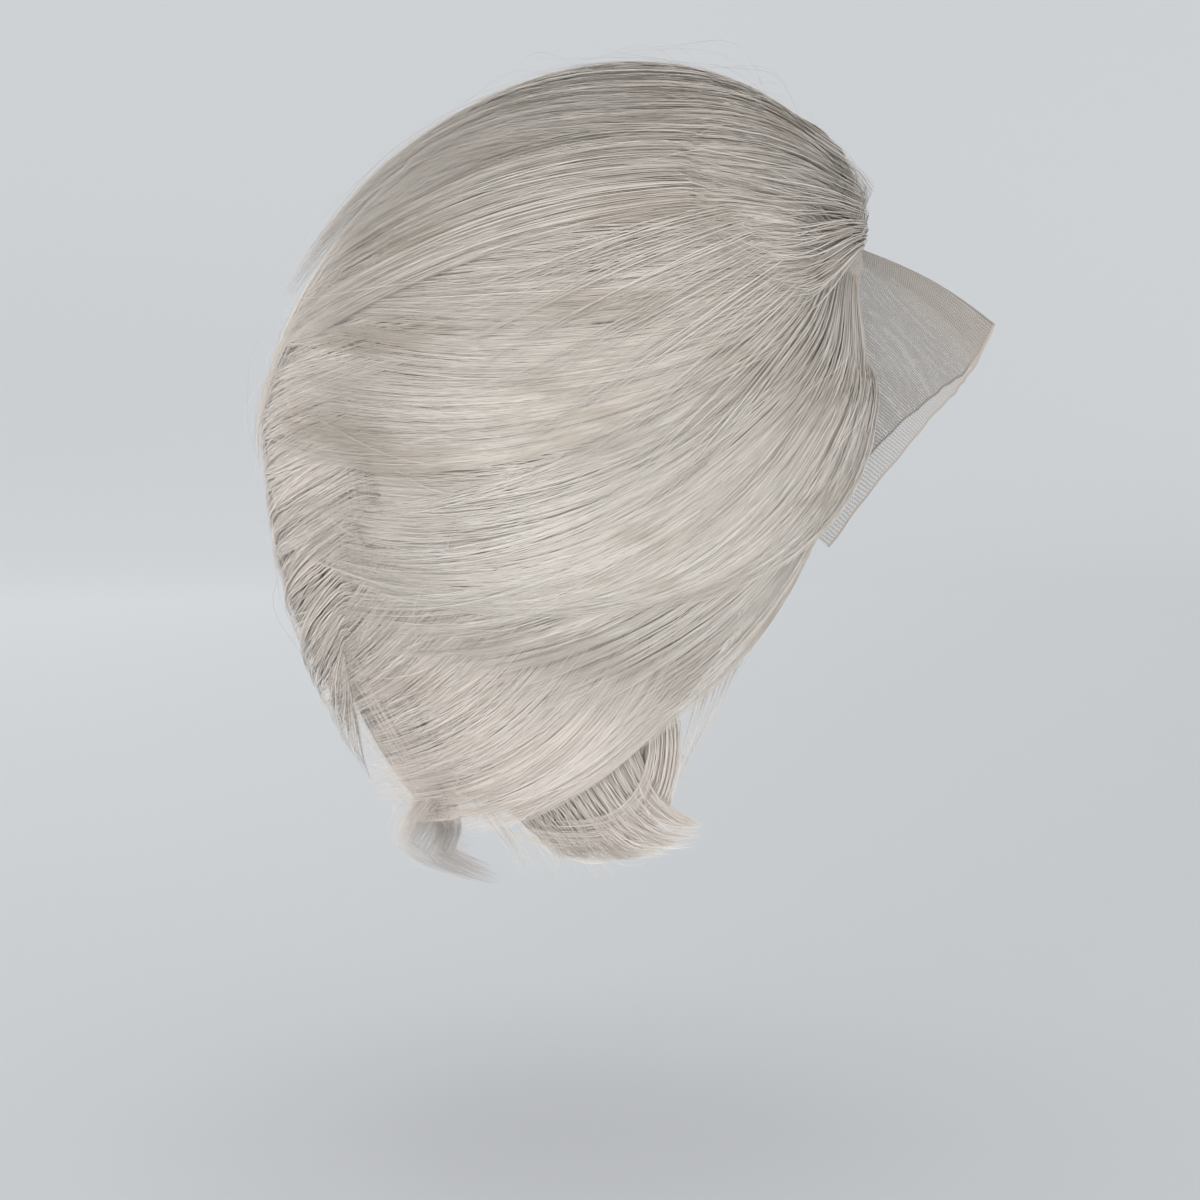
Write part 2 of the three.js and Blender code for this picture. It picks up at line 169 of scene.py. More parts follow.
# %% Cap form, cap edge and outer form
CAP_FORM = {"length": 97, "side": 76, "top": 95, "bottom": 130, "fullness": 2.5}
CAP_WALL = 1.5
CAP_GAP = 2
CAP_RIM = [
    # azimuth, elevation
    (0, 34),
    (30, 18),
    (60, -16),
    (74, -29),
    (96, -17),
    (125, -32),
    (155, -44),
    (180, -46),
]
FORM = {
    "x": -20,
    "z": -105,
    "lean": 0.2,
    "length": 120,
    "width": 106,
    "top": 132,
    "bottom": 190,
    "fullness": 2.5,
}
FINE_STEPS = 2001
HEIGHT_ROUNDS = 20


def smoothstep(value, low, high):
    share = np.clip((value - low) / (high - low), 0, 1)
    return share * share * (3 - 2 * share)


def curve_through(points, share):
    """Smooth curve through rows of points, at shares from 0 to 1 or a little past them."""
    points = np.asarray(points, float)
    last = len(points) - 1
    place = np.asarray(share) * last
    i = np.clip(place.astype(int), 0, last - 1)
    w = (place - i)[..., None]
    before, start, end, after = (points[np.clip(i + k, 0, last)] for k in (-1, 0, 1, 2))
    leave, reach = (end - before) / 2, (after - start) / 2
    cubic = (2 * start - 2 * end + leave + reach) * w**3
    return cubic + (3 * end - 3 * start - 2 * leave - reach) * w**2 + leave * w + start


def at_azimuth(table, azimuth):
    """Values of a table at azimuths of either sign, on the smooth curve through its rows."""
    fine = curve_through(table, np.linspace(0, 1, FINE_STEPS))
    return np.stack([np.interp(np.abs(azimuth), fine[:, 0], column) for column in fine[:, 1:].T], -1)


def cap_powers(away, offset):
    sizes = [CAP_FORM["length"] + offset, CAP_FORM["side"] + offset]
    upright = np.where(away[..., 2] > 0, CAP_FORM["top"], CAP_FORM["bottom"]) + offset
    shares = [away[..., 0] / sizes[0], away[..., 1] / sizes[1], away[..., 2] / upright]
    return [np.abs(share) ** CAP_FORM["fullness"] for share in shares]


def cap_point(azimuth, elevation, offset):
    """Point on the inside of the cap, or offset out from it, in a direction in degrees from its middle."""
    azimuth, elevation = np.radians(azimuth), np.radians(elevation)
    level = np.cos(elevation)
    way = np.stack([level * np.cos(azimuth), level * np.sin(azimuth), np.sin(elevation)], -1)
    share = sum(cap_powers(way, offset)) ** (1 / CAP_FORM["fullness"])
    return way / share[..., None] - [0, 0, CAP_FORM["top"]]


def depth_to_cap(points):
    away = points + [0, 0, CAP_FORM["top"]]
    lengthways, sideways, upright = cap_powers(away, CAP_WALL)
    power = 1 / CAP_FORM["fullness"]
    above = np.linalg.norm(away, axis=-1) * (1 - 1 / (lengthways + sideways + upright) ** power)
    level = np.maximum(0, 1 - upright) / (lengthways + sideways)
    below = np.hypot(away[..., 0], away[..., 1]) * (1 - level**power)
    return np.where(away[..., 2] >= 0, above, below)


def inward_of(points):
    middle = np.zeros_like(points)
    middle[..., 2] = np.minimum(points[..., 2], -CAP_FORM["top"])
    way = middle - points
    return way / np.linalg.norm(way, axis=-1, keepdims=True)


def rest_of(whole, part, power):
    return np.maximum(0, whole**power - np.abs(part) ** power) ** (1 / power)


def form_middle(z):
    return FORM["x"] + FORM["lean"] * np.maximum(0, z - FORM["z"])


def form_level(z):
    half = np.where(z > FORM["z"], FORM["top"], FORM["bottom"])
    return rest_of(1.0, (z - FORM["z"]) / half, 2)


def form_point(view, drawn):
    """Point on the outer form from its two coordinates in a side, top or back view."""
    a, b = drawn[..., 0], drawn[..., 1]
    if view == "side":
        share = rest_of(form_level(b), (a - form_middle(b)) / FORM["length"], FORM["fullness"])
        return np.stack([a, -FORM["width"] * share, b], -1)
    if view == "back":
        share = rest_of(form_level(b), a / FORM["width"], FORM["fullness"])
        return np.stack([form_middle(b) - FORM["length"] * share, a, b], -1)
    z = np.zeros_like(a)
    for _ in range(HEIGHT_ROUNDS):
        lengthways = np.abs((a - form_middle(z)) / FORM["length"]) ** FORM["fullness"]
        level = (lengthways + np.abs(b / FORM["width"]) ** FORM["fullness"]) ** (1 / FORM["fullness"])
        z = FORM["z"] + FORM["top"] * rest_of(1.0, level, 2)
    return np.stack([a, b, z], -1)


print("the outer form is", FORM["length"] * 2, "mm long and", FORM["width"] * 2, "mm wide")

# %% [markdown]
# ## The layers of the cut
# A bob is cut in layers, and each lies over the next. A layer here is a handful of guide strands, each with a
# root, a bend and a tip in one view, and a row of values: how many locks it falls into, how deep it lies, how
# thick it is, and how its roots rise and its ends flick. The guides are those of the solids, so the hair
# keeps their form. Only the middle of the crown differs: its halves overlap there, so that no gap shows.

# %% Guides and values of each layer
CROWN = [
    ((94, 3), (-10, 4), (-124, 3)),
    ((95, -6), (20, -34), (-123, -16)),
    ((96, -12), (45, -72), (-118, -34)),
    ((96, -22), (60, -116), (-107, -54)),
]
SWEEP = [
    ((96, -38), (46, 38), (-95, -32)),
    ((96, -40), (0, -28), (-120, -57)),
    ((96, -43), (0, -94), (-126, -66)),
    ((96, -45), (-8, -118), (-131, -92)),
    ((95, -47), (-20, -140), (-133, -112)),
]
WING = [
    ((95, -46), (-10, -124), (-128, -98)),
    ((95, -49), (-12, -172), (-126, -136)),
    ((94, -52), (24, -200), (-112, -154)),
    ((93, -56), (62, -192), (-82, -164)),
    ((92, -60), (92, -178), (-50, -170)),
    ((90, -66), (116, -158), (-18, -175)),
]
SIDE = [
    ((-62, -112), (-98, -152), (-110, -184)),
    ((-35, -134), (-79, -182), (-106, -206)),
    ((-5, -150), (-40, -212), (-100, -232)),
    ((22, -152), (-3, -242), (-92, -251)),
    ((57, -148), (28, -227), (-54, -258)),
]
BACK = [
    ((-84, -66), (-104, -150), (-66, -200)),
    ((-56, -48), (-72, -150), (-48, -222)),
    ((-28, -36), (-36, -150), (-28, -228)),
    ((0, -32), (0, -150), (0, -230)),
    ((28, -36), (36, -150), (28, -228)),
    ((56, -48), (72, -150), (48, -222)),
    ((84, -66), (104, -150), (66, -200)),
]
CURL = [
    ((-14, -160), (16, -252), (28, -251)),
    ((-36, -170), (-2, -268), (26, -258)),
    ((-56, -180), (-20, -279), (10, -266)),
    ((-76, -190), (-50, -275), (-12, -266)),
]
FLICK = [
    ((-60, -164), (-78, -234), (-54, -256)),
    ((-22, -172), (-28, -256), (-18, -280)),
    ((10, -174), (10, -264), (9, -291)),
    ((60, -164), (76, -240), (48, -268)),
]
# Depth, thickness, ridge, lift, flick, tuck and edge are in millimetres. Rise, notch, late, fill, lining and
# body are shares: late of the strands that start below the roots, fill of the thickness that strands lie in,
# lining of the strands on the inside, and body of the length that has a closed body.
LAYER_COLUMNS = (
    "view guides locks depth thickness rise ridge notch lift flick tuck edge "
    "late fill lining body strands finish"
).split()
LAYER_ROWS = {
    "crown_right": ("top", CROWN, 6, 0, 26, 0.16, 3, 0.07, 0, 2, 0, 3, 0.2, 0, 0, 0.94, 2150, "platinum"),
    "crown_left": ("top", CROWN, 6, 0, 26, 0.09, 3, 0.07, 6, 2, 0, 3, 0.2, 0, 0, 0.94, 2150, "platinum"),
    "sweep": ("side", SWEEP, 7, 2, 20, 0.18, 3, 0.06, 0, 0, 1, 0, 0.4, 0, 0, 0.92, 2150, "platinum"),
    "wing": ("side", WING, 8, 0, 18, 0.16, 3, 0.07, 0, -3, 4, 0, 0.6, 0, 0.12, 0.9, 2300, "silver"),
    "side": ("side", SIDE, 8, 7, 12, 0.2, 3, 0.08, 0, 4, 2, 0, 0.6, 0.1, 0.3, 0.84, 2200, "cream"),
    "back_fall": ("back", BACK, 11, 6, 14, 0.2, 3, 0.08, 0, -5, 0, 1.5, 0.5, 0.1, 0.3, 0.84, 2300, "cream"),
    "nape_curl": ("side", CURL, 5, 14, 8, 0.2, 2, 0.08, 0, 20, 0, 0, 0.5, 0.9, 0.3, 0.6, 1100, "cream"),
    "nape_flick": ("back", FLICK, 6, 17, 8, 0.2, 2, 0.07, 0, 38, 0, 0, 0.5, 0.9, 0.3, 0.55, 1900, "cream"),
}
EVERY_VALUE = dict.fromkeys([*LAYER_COLUMNS, "curl", "inset"], 0)
LAYERS = {name: EVERY_VALUE | dict(zip(LAYER_COLUMNS, row)) for name, row in LAYER_ROWS.items()}
LAYERS["nape_flick"]["curl"] = 0.45
LAYERS["back_fall"]["inset"] = 0.1
print(len(LAYERS), "layers,", sum(layer["strands"] for layer in LAYERS.values()), "strands in the table")

# %% [markdown]
# ## Veils
# Real hair strays from one layer over the next, so that no join shows as a line. A veil is a set of such
# loose strands, with guides of its own and no body, in the tones of the piece that it is joined to. More
# strands in the layers themselves would only thicken them.

# %% Guides and values of each veil
BACK_WRAP = [
    ((-88, -24), (-84, -50), (-20, -70)),
    ((-100, -60), (-80, -84), (-8, -96)),
    ((-100, -88), (-78, -114), (-8, -128)),
    ((-97, -114), (-74, -142), (-8, -158)),
    ((-90, -142), (-66, -170), (-10, -186)),
    ((-82, -168), (-60, -198), (-14, -214)),
    ((-72, -186), (-60, -226), (-30, -244)),
]
CROWN_VEIL = [
    ((-56, -4), (-58, -50), (-40, -116)),
    ((-30, 4), (-34, -44), (-16, -124)),
    ((0, 6), (0, -40), (2, -126)),
]
FRONT_ARCH = [
    ((95, 6), (30, 4), (-30, -2)),
    ((96, -4), (30, -16), (-40, -20)),
    ((96, -14), (40, -46), (-20, -44)),
    ((95, -24), (64, -84), (10, -72)),
    ((94, -34), (74, -104), (24, -88)),
]
FRONT_LOOP = [
    ((95, -2), (60, -4), (0, -6)),
    ((96, -12), (60, -26), (0, -24)),
    ((96, -22), (64, -60), (10, -50)),
]
CROWN_SIDE = [
    ((60, -4), (-30, 22), (-116, -50)),
    ((62, -16), (-40, 0), (-122, -66)),
    ((66, -26), (-40, -24), (-128, -84)),
]
FRONT_FALL = [
    ((84, -20), (16, -22), (-80, -62)),
    ((88, -26), (40, -60), (-44, -112)),
    ((91, -33), (64, -96), (-2, -150)),
    ((93, -41), (82, -116), (24, -168)),
    ((94, -50), (95, -130), (44, -176)),
]
WING_FALL = [
    ((94, -52), (-10, -186), (-122, -160)),
    ((93, -54), (14, -192), (-106, -178)),
    ((93, -56), (40, -190), (-84, -190)),
    ((90, -66), (76, -168), (-58, -206)),
    ((86, -74), (86, -166), (-32, -222)),
    ((83, -80), (82, -176), (-14, -236)),
]
FRONT_WISPS = [
    ((72, -126), (66, -168), (36, -208)),
    ((58, -144), (48, -196), (22, -238)),
    ((42, -154), (30, -218), (12, -262)),
]
CURL_UNDER = [
    ((6, -184), (30, -258), (-30, -252)),
    ((14, -182), (40, -280), (-44, -254)),
    ((22, -178), (48, -300), (-54, -256)),
]
NAPE_JOIN = [
    ((62, -168), (72, -222), (54, -258)),
    ((84, -162), (82, -212), (66, -246)),
]
NAPE_WISPS = [
    ((-30, -214), (-18, -262), (4, -281)),
    ((-52, -222), (-34, -268), (-20, -284)),
    ((-74, -226), (-56, -262), (-40, -280)),
]
VEIL_COLUMNS = "view guides locks depth thickness rise ridge notch lift flick late fill strands".split()
VEIL_ROWS = {
    "back_wrap": ("back", BACK_WRAP, 8, 4, 10, 0.12, 0.8, 0.08, 0, -2, 1, 0.1, 1400),
    "crown_veil": ("back", CROWN_VEIL, 8, 4, 10, 0.3, 2, 0.08, 0, 1, 1, 0.2, 450),
    "front_arch": ("top", FRONT_ARCH, 4, -1, 12, 0.1, 2, 0.1, 6, 1, 0.1, 0.6, 600),
    "front_loop": ("top", FRONT_LOOP, 3, -1, 9, 0.08, 1, 0.1, 9, 1, 0, 0.9, 260),
    "crown_side": ("side", CROWN_SIDE, 5, 0.8, 10, 0.2, 2, 0.1, 0, 1, 0.95, 0.1, 600),
    "front_fall": ("side", FRONT_FALL, 6, -0.5, 12, 0.35, 2, 0.1, 0, 0, 0.85, 0.35, 900),
    "wing_fall": ("side", WING_FALL, 6, 0, 8, 0.16, 1, 0.2, 0, -4, 0.8, 0.1, 700),
    "front_wisps": ("side", FRONT_WISPS, 3, 6, 6, 0.1, 1, 0.3, 0, -3, 0.6, 0.9, 30),
    "curl_under": ("side", CURL_UNDER, 3, 13, 8, 0.2, 1, 0.2, 0, 6, 0.5, 0.9, 220),
    "nape_join": ("back", NAPE_JOIN, 4, 8, 8, 0.2, 1, 0.1, 0, 4, 0.5, 0.8, 300),
    "nape_wisps": ("side", NAPE_WISPS, 3, 12, 6, 0.1, 1, 0.3, 0, 6, 0.6, 0.9, 60),
}
VEILS = {name: EVERY_VALUE | dict(zip(VEIL_COLUMNS, row)) for name, row in VEIL_ROWS.items()}
print(len(VEILS), "veils,", sum(veil["strands"] for veil in VEILS.values()), "strands in the table")

# %% [markdown]
# ## Where a strand lies
# A strand leaves the cap, climbs to the depth of its layer, and may flick or curl at its end. A layer thins
# towards its tips, and its locks are rounded ridges with valleys between them. One rule gives the place of
# any point of a layer, so the body and the strands agree.

# %% Place of a point in a layer
ROOT_THICKNESS = 1.6
TIP_THICKNESS = 0.3
LIFT_AT = 0.07
LIFT_SPREAD = 0.09
LIFT_FULL_FROM = 0.3
LIFT_FADES_FROM = 0.5
TUCK_SPREAD = 0.3
TUCK_FADES_FROM = 0.5
FLICK_FROM = 0.6
CURL_FROM = 0.82
EDGE_FROM = 0.7
THINS_FROM = 0.3


def on_form(layer, across, along):
    """Points of a layer's strands on the outer form, from 0 to 1 across its guides and along a strand."""
    root, bend, tip = (curve_through([guide[end] for guide in layer["guides"]], across) for end in range(3))
    t = along[..., None]
    return form_point(layer["view"], (1 - t) ** 2 * root + 2 * t * (1 - t) * bend + t**2 * tip)


def lay(layer, across, along, sink, ridged=1.0):
    """Points of strands at a share, sink, of a layer's thickness under its outer side, and the way out."""
    points = on_form(layer, across, along)
    limit = depth_to_cap(points) - CAP_GAP
    free = smoothstep(along, 0, layer["rise"])
    lifted = layer["lift"] * np.exp(-(((along - LIFT_AT) / LIFT_SPREAD) ** 2))
    lifted = lifted * smoothstep(across, 0, LIFT_FULL_FROM) * (1 - smoothstep(across, LIFT_FADES_FROM, 1))
    flicked = smoothstep(along, FLICK_FROM, 1) - layer["curl"] * smoothstep(along, CURL_FROM, 1)
    turn = layer["flick"] * flicked + lifted
    tucked = (1 - smoothstep(across, 0, TUCK_SPREAD)) * (1 - smoothstep(along, TUCK_FADES_FROM, 1))
    level = layer["depth"] + layer["tuck"] * tucked + layer["ridge"] - turn
    edge_share = np.abs(2 * across - 1) if layer["view"] == "back" else across
    level = level + layer["edge"] * smoothstep(edge_share, EDGE_FROM, 1)
    valley = np.minimum(limit + (level - limit) * free, limit) - ROOT_THICKNESS
    thin = 1 + (TIP_THICKNESS - 1) * smoothstep(along, THINS_FROM, 1)
    thickness = layer["thickness"] * free * thin
    swell = np.abs(np.sin(np.pi * across * layer["locks"]))
    outer = valley - layer["ridge"] * free * (1 - ridged + ridged * swell)
    inner = np.minimum(valley + ROOT_THICKNESS + thickness, limit)
    inward = inward_of(points)
    depth = outer + sink * (inner - outer)
    return points + inward * depth[..., None], -inward


print("strand rule ready")

# %% [markdown]
# ## Hair colour
# Platinum hair is never one colour: each strand is a little whiter or more beige than the next. One node
# group gives these streaks to every hair material. It stretches a noise along the strand, and each material
# brings its own three tones. The group also paints shade: it darkens the hair where it leaves the cap, as the
# shadow among the crowded roots, and adds a few darker patches of painted soft shade. Short helpers make each
# node and its links in one line.

# %% Node helpers
COLOUR, NUMBER, WAY = "NodeSocketColor", "NodeSocketFloat", "NodeSocketVector"
MIX_FIRST, MIX_SECOND, MIX_RESULT = 6, 7, 2


def new_group(name, inputs, outputs):
    group = bpy.data.node_groups.new(name, "ShaderNodeTree")
    for label, kind, value in inputs:
        socket = group.interface.new_socket(label, in_out="INPUT", socket_type=kind)
        socket.default_value = value
    for label, kind in outputs:
        group.interface.new_socket(label, in_out="OUTPUT", socket_type=kind)
    return group, group.nodes.new("NodeGroupInput"), group.nodes.new("NodeGroupOutput")


def feed(tree, value, socket):
    """Set a socket to a value, or link it to another node's output."""
    if isinstance(value, bpy.types.NodeSocket):
        tree.links.new(value, socket)
    else:
        socket.default_value = value


def add(tree, kind, inputs=None, **values):
    node = tree.nodes.new(kind)
    for key, value in values.items():
        setattr(node, key, value)
    for label, value in (inputs or {}).items():
        feed(tree, value, node.inputs[label])
    return node


def calculated(tree, operation, *terms):
    return add(tree, "ShaderNodeMath", dict(enumerate(terms)), operation=operation).outputs[0]


def scaled(tree, place, scale):
    return add(tree, "ShaderNodeVectorMath", {0: place, 1: scale}, operation="MULTIPLY").outputs[0]


def rising(tree, value, low, high, kind="SMOOTHSTEP"):
    """A share that goes from 0 to 1 while a value goes from low to high."""
    inputs = {"Value": value, "From Min": low, "From Max": high}
    return add(tree, "ShaderNodeMapRange", inputs, interpolation_type=kind).outputs[0]


def between(tree, share, start, end):
    inputs = {"Value": share, "To Min": start, "To Max": end}
    return add(tree, "ShaderNodeMapRange", inputs).outputs[0]


def mixed(tree, share, first, second):
    """A colour from the first to the second."""
    inputs = {"Factor": share, MIX_FIRST: first, MIX_SECOND: second}
    return add(tree, "ShaderNodeMix", inputs, data_type="RGBA").outputs[MIX_RESULT]


def bumped(tree, height, strength, distance):
    inputs = {"Height": height, "Strength": strength, "Distance": distance}
    return add(tree, "ShaderNodeBump", inputs).outputs["Normal"]


print("node helpers ready")

# %% Streak group
STREAK_RATE = 2.2
DARK_STREAKS = (0.28, 0.52)
BRIGHT_STREAKS = (0.48, 0.75)
STREAK_ROUGHNESS = (0.5, 0.34)
ROOT_SHADOW_FADE = (0.3, 0.0)
SHADE_PATCH_SCALE = (22, 26, 60)
SHADE_PATCH_EDGE = (0.5, 0.72)
streaks, given, put_out = new_group(
    "hair_streaks",
    [
        ("Map", WAY, (0, 0, 0)),
        ("Fineness", NUMBER, 60.0),
        ("Shade", COLOUR, (0.5, 0.45, 0.4, 1)),
        ("Middle", COLOUR, (0.7, 0.65, 0.6, 1)),
        ("Bright", COLOUR, (0.9, 0.88, 0.85, 1)),
        ("Painted root shadow", NUMBER, 0.35),
        ("Place", WAY, (0, 0, 0)),
        ("Shade patches", NUMBER, 0.4),
    ],
    [("Colour", COLOUR), ("Roughness", NUMBER), ("Height", NUMBER)],
)
shade, middle, bright = (given.outputs[label] for label in ("Shade", "Middle", "Bright"))
split = add(streaks, "ShaderNodeSeparateXYZ", {0: given.outputs["Map"]})
spread = calculated(streaks, "MULTIPLY", split.outputs["X"], given.outputs["Fineness"])
slow = calculated(streaks, "MULTIPLY", split.outputs["Y"], STREAK_RATE)
stretched = add(streaks, "ShaderNodeCombineXYZ", {"X": spread, "Y": slow}).outputs[0]
noise_values = {"Vector": stretched, "Scale": 1.0, "Detail": 3.0, "Roughness": 0.7}
noise = add(streaks, "ShaderNodeTexNoise", noise_values, noise_dimensions="2D").outputs["Fac"]
tone = mixed(streaks, rising(streaks, noise, *DARK_STREAKS, "LINEAR"), shade, middle)
tone = mixed(streaks, rising(streaks, noise, *BRIGHT_STREAKS, "LINEAR"), tone, bright)
# Painted root shadow: near the roots the tone turns towards the shade colour.
near_root_shadow = rising(streaks, split.outputs["Y"], *ROOT_SHADOW_FADE)
root_shadow_share = calculated(streaks, "MULTIPLY", near_root_shadow, given.outputs["Painted root shadow"])
tone = mixed(streaks, root_shadow_share, tone, shade)
# Painted shade: a slow noise in object space darkens lock-sized patches towards the shade colour, as soft
# shade.
cloud_values = {"Vector": scaled(streaks, given.outputs["Place"], SHADE_PATCH_SCALE), "Scale": 1.0, "Detail": 2.0}
shade_clouds = add(streaks, "ShaderNodeTexNoise", cloud_values).outputs["Fac"]
shade_patch = rising(streaks, shade_clouds, *SHADE_PATCH_EDGE)
shade_patch_share = calculated(streaks, "MULTIPLY", shade_patch, given.outputs["Shade patches"])
feed(streaks, mixed(streaks, shade_patch_share, tone, shade), put_out.inputs["Colour"])
feed(streaks, between(streaks, noise, *STREAK_ROUGHNESS), put_out.inputs["Roughness"])
feed(streaks, noise, put_out.inputs["Height"])
print("streak group with", len(streaks.nodes), "nodes")

# %% Hair materials
HAIR_TONES = {
    # shade, middle, bright, painted root shadow, streaks across the map, painted shade in patches
    "platinum": ((0.51, 0.45, 0.38), (0.67, 0.615, 0.55), (0.79, 0.745, 0.695), 0.6, 160, 0.75),
    "silver": ((0.51, 0.455, 0.39), (0.66, 0.61, 0.55), (0.78, 0.745, 0.70), 0.75, 160, 0.55),
    "cream": ((0.63, 0.555, 0.48), (0.80, 0.725, 0.655), (0.91, 0.845, 0.78), 0.4, 160, 0.4),
    # The under-hair tones are a little darker than most strands, as painted shade in the gaps between them.
    "under_hair_shade": ((0.50, 0.44, 0.38), (0.66, 0.60, 0.54), (0.77, 0.72, 0.67), 0.4, 220, 0.5),
}
UNDER_HAIR_BUMP = {"strength": 0.6, "distance": 0.001}


def hair_material(name):
    shade, middle, bright, root, fineness, patches = HAIR_TONES[name]
    material, tree, shader = new_material(name)
    shader.inputs["Specular IOR Level"].default_value = 0.55
    group_values = {
        "Map": add(tree, "ShaderNodeUVMap", uv_map="OFBake").outputs["UV"],
        "Fineness": fineness,
        "Shade": (*shade, 1),
        "Middle": (*middle, 1),
        "Bright": (*bright, 1),
        "Painted root shadow": root,
        "Place": add(tree, "ShaderNodeTexCoord").outputs["Object"],
        "Shade patches": patches,
    }
    group = add(tree, "ShaderNodeGroup", group_values, node_tree=streaks)
    feed(tree, group.outputs["Colour"], shader.inputs["Base Color"])
    feed(tree, group.outputs["Roughness"], shader.inputs["Roughness"])
    if name == "under_hair_shade":
        feed(tree, bumped(tree, group.outputs["Height"], **UNDER_HAIR_BUMP), shader.inputs["Normal"])
    return material


hair_finish = {name: hair_material(name) for name in HAIR_TONES}
print("hair materials:", list(hair_finish))

# %% [markdown]
# ## Strands
# Blender has a hair system, but its curves don't leave Blender as a mesh. Here a strand is a narrow ribbon of
# twelve short faces, and thousands of them are joined into one mesh from arrays, which is quick. Each ribbon
# is rolled a little about its length, so that the light breaks up into fine lines as it does on real hair.

# %% Ribbons from strand points
SEGMENTS = 12
SIDE_BLEND = 0.6
ROOT_WIDTH = 0.55
FULL_WIDTH_FROM = 0.25
NARROWS_FROM = 0.55
TIP_WIDTH = 0.15
RIBBON_TONES = (0, 0.004)
TINY = 1e-9


def ribbons(points, outward, width, roll, tone):
    """Points, faces and map of one ribbon for each strand, from its points at each cross line."""
    strands, lines, _ = points.shape
    along = np.gradient(points, axis=1)
    along /= np.linalg.norm(along, axis=-1, keepdims=True) + TINY
    side = np.cross(along, outward)
    side[:, :-1] += SIDE_BLEND * side[:, 1:]
    side /= np.linalg.norm(side, axis=-1, keepdims=True) + TINY
    up = np.cross(side, along)
    turned = side * np.cos(roll)[:, None, None] + up * np.sin(roll)[:, None, None]
    share = np.linspace(0, 1, lines)
    from_root = ROOT_WIDTH + (1 - ROOT_WIDTH) * smoothstep(share, 0, FULL_WIDTH_FROM)
    to_tip = 1 - (1 - TIP_WIDTH) * smoothstep(share, NARROWS_FROM, 1)
    half = turned * (width[:, None] * from_root * to_tip / 2)[..., None]
    both = np.stack([points - half, points + half], 2).reshape(-1, 3)
    first = (np.arange(strands)[:, None] * lines + np.arange(lines - 1)) * 2
    faces = np.stack([first, first + 1, first + 3, first + 2], -1).reshape(-1, 4)
    u = np.repeat(tone[:, None] + np.array(RIBBON_TONES), lines, 0).reshape(strands, lines, 2)
    v = np.broadcast_to(share[None, :, None], u.shape)
    return both, faces, np.stack([u, v], -1).reshape(-1, 2)


print("a strand is", SEGMENTS * 2, "triangles")

# %% [markdown]
# ## Tresses
# Combed hair lies partly as an even cover and partly in tresses that cross each other and end in points. Here
# about half the strands of a layer are of each kind. Some start late, as shorter hair does, some line the
# inside of the layer, and the ends stand off a little. A few single hairs stray from the surface.

# %% Values of even strands and of tresses
FEATHER = 0.04
TONE_SPAN = 0.98
EVEN = {"side": 0.004, "drift": 0.03, "notch": 0.6, "shorter": 0.06, "sunk": 0.8}
TRESSES_PER_LOCK = 6
TRESS = {
    "half_width": (0.35, 1.1),
    "round": 0.5,
    "gather": (0.3, 0.9),
    "drift": 0.05,
    "strand_drift": 0.01,
    "reach": (0.8, 1.02),
    "shorter": 0.05,
    "height": (-0.3, 0.4),
    "sunk": 0.5,
    "strand_tone": 0.002,
}


def feathered(across):
    """Shares across a layer, folded back where they pass its edge by more than a feather's width."""
    width = 1 + 2 * FEATHER
    return width * (1 - np.abs(1 - np.abs((across + FEATHER) / width))) - FEATHER


def even_strands(layer, count, chance):
    """Values of strands that cover a layer evenly."""
    across = (np.arange(count) + chance.uniform(0, 1, count)) / count
    swell = np.abs(np.sin(np.pi * across * layer["locks"]))
    notch = EVEN["notch"] * layer["notch"] * (1 - swell)
    return {
        "middle": across,
        "side": chance.normal(0, EVEN["side"], count),
        "gather": np.zeros(count),
        "drift": chance.normal(0, EVEN["drift"], count),
        "reach": 1 - notch - np.abs(chance.normal(0, EVEN["shorter"], count)),
        "height": -EVEN["sunk"] * chance.uniform(0, 1, count) ** 2,
        "tone": chance.uniform(0, TONE_SPAN, count),
    }


def tress_strands(layer, count, chance):
    """Values of strands in tresses, which cross each other and taper to a point."""
    tresses = layer["locks"] * TRESSES_PER_LOCK
    tress = np.sort(chance.integers(0, tresses, count))
    middle = (np.arange(tresses) + chance.uniform(0, 1, tresses)) / tresses
    half = chance.uniform(*TRESS["half_width"], tresses) / tresses
    side = chance.uniform(-1, 1, count)
    gather = chance.uniform(*TRESS["gather"], tresses)[tress]
    drift = chance.normal(0, TRESS["drift"], tresses)[tress] + chance.normal(0, TRESS["strand_drift"], count)
    reach = chance.uniform(*TRESS["reach"], tresses)[tress]
    reach = reach - np.abs(chance.normal(0, TRESS["shorter"], count))
    height = chance.uniform(*TRESS["height"], tresses)[tress] + TRESS["round"] * (1 - side**2)
    height = height - TRESS["sunk"] * chance.uniform(0, 1, count) ** 2
    tone = chance.uniform(0, TONE_SPAN, tresses)[tress] + chance.normal(0, TRESS["strand_tone"], count)
    return {
        "middle": middle[tress],
        "side": side * half[tress],
        "gather": gather,
        "drift": drift,
        "reach": reach,
        "height": height,
        "tone": tone,
    }


print("tresses in a lock:", TRESSES_PER_LOCK)

# %% Strands of a layer
STRAND_RIDGES = 0.25
STRAND_WIDTH = (0.2, 0.4)
TRESS_SHARE = 0.55
LATE_START = 0.4
EARLY_START = 0.02
SHORTEST = 0.25
POINT_CROWDING = 1.5
WAVES = (0.5, 1.6)
WANDER = 0.007
WANDERS_FROM = 0.4
GATHERS_FROM = 0.1
LINING_SINK = 1.06
LINING_HEIGHT = 0.3
LOOSE_END = 0.9
LOOSE_FROM = 0.7


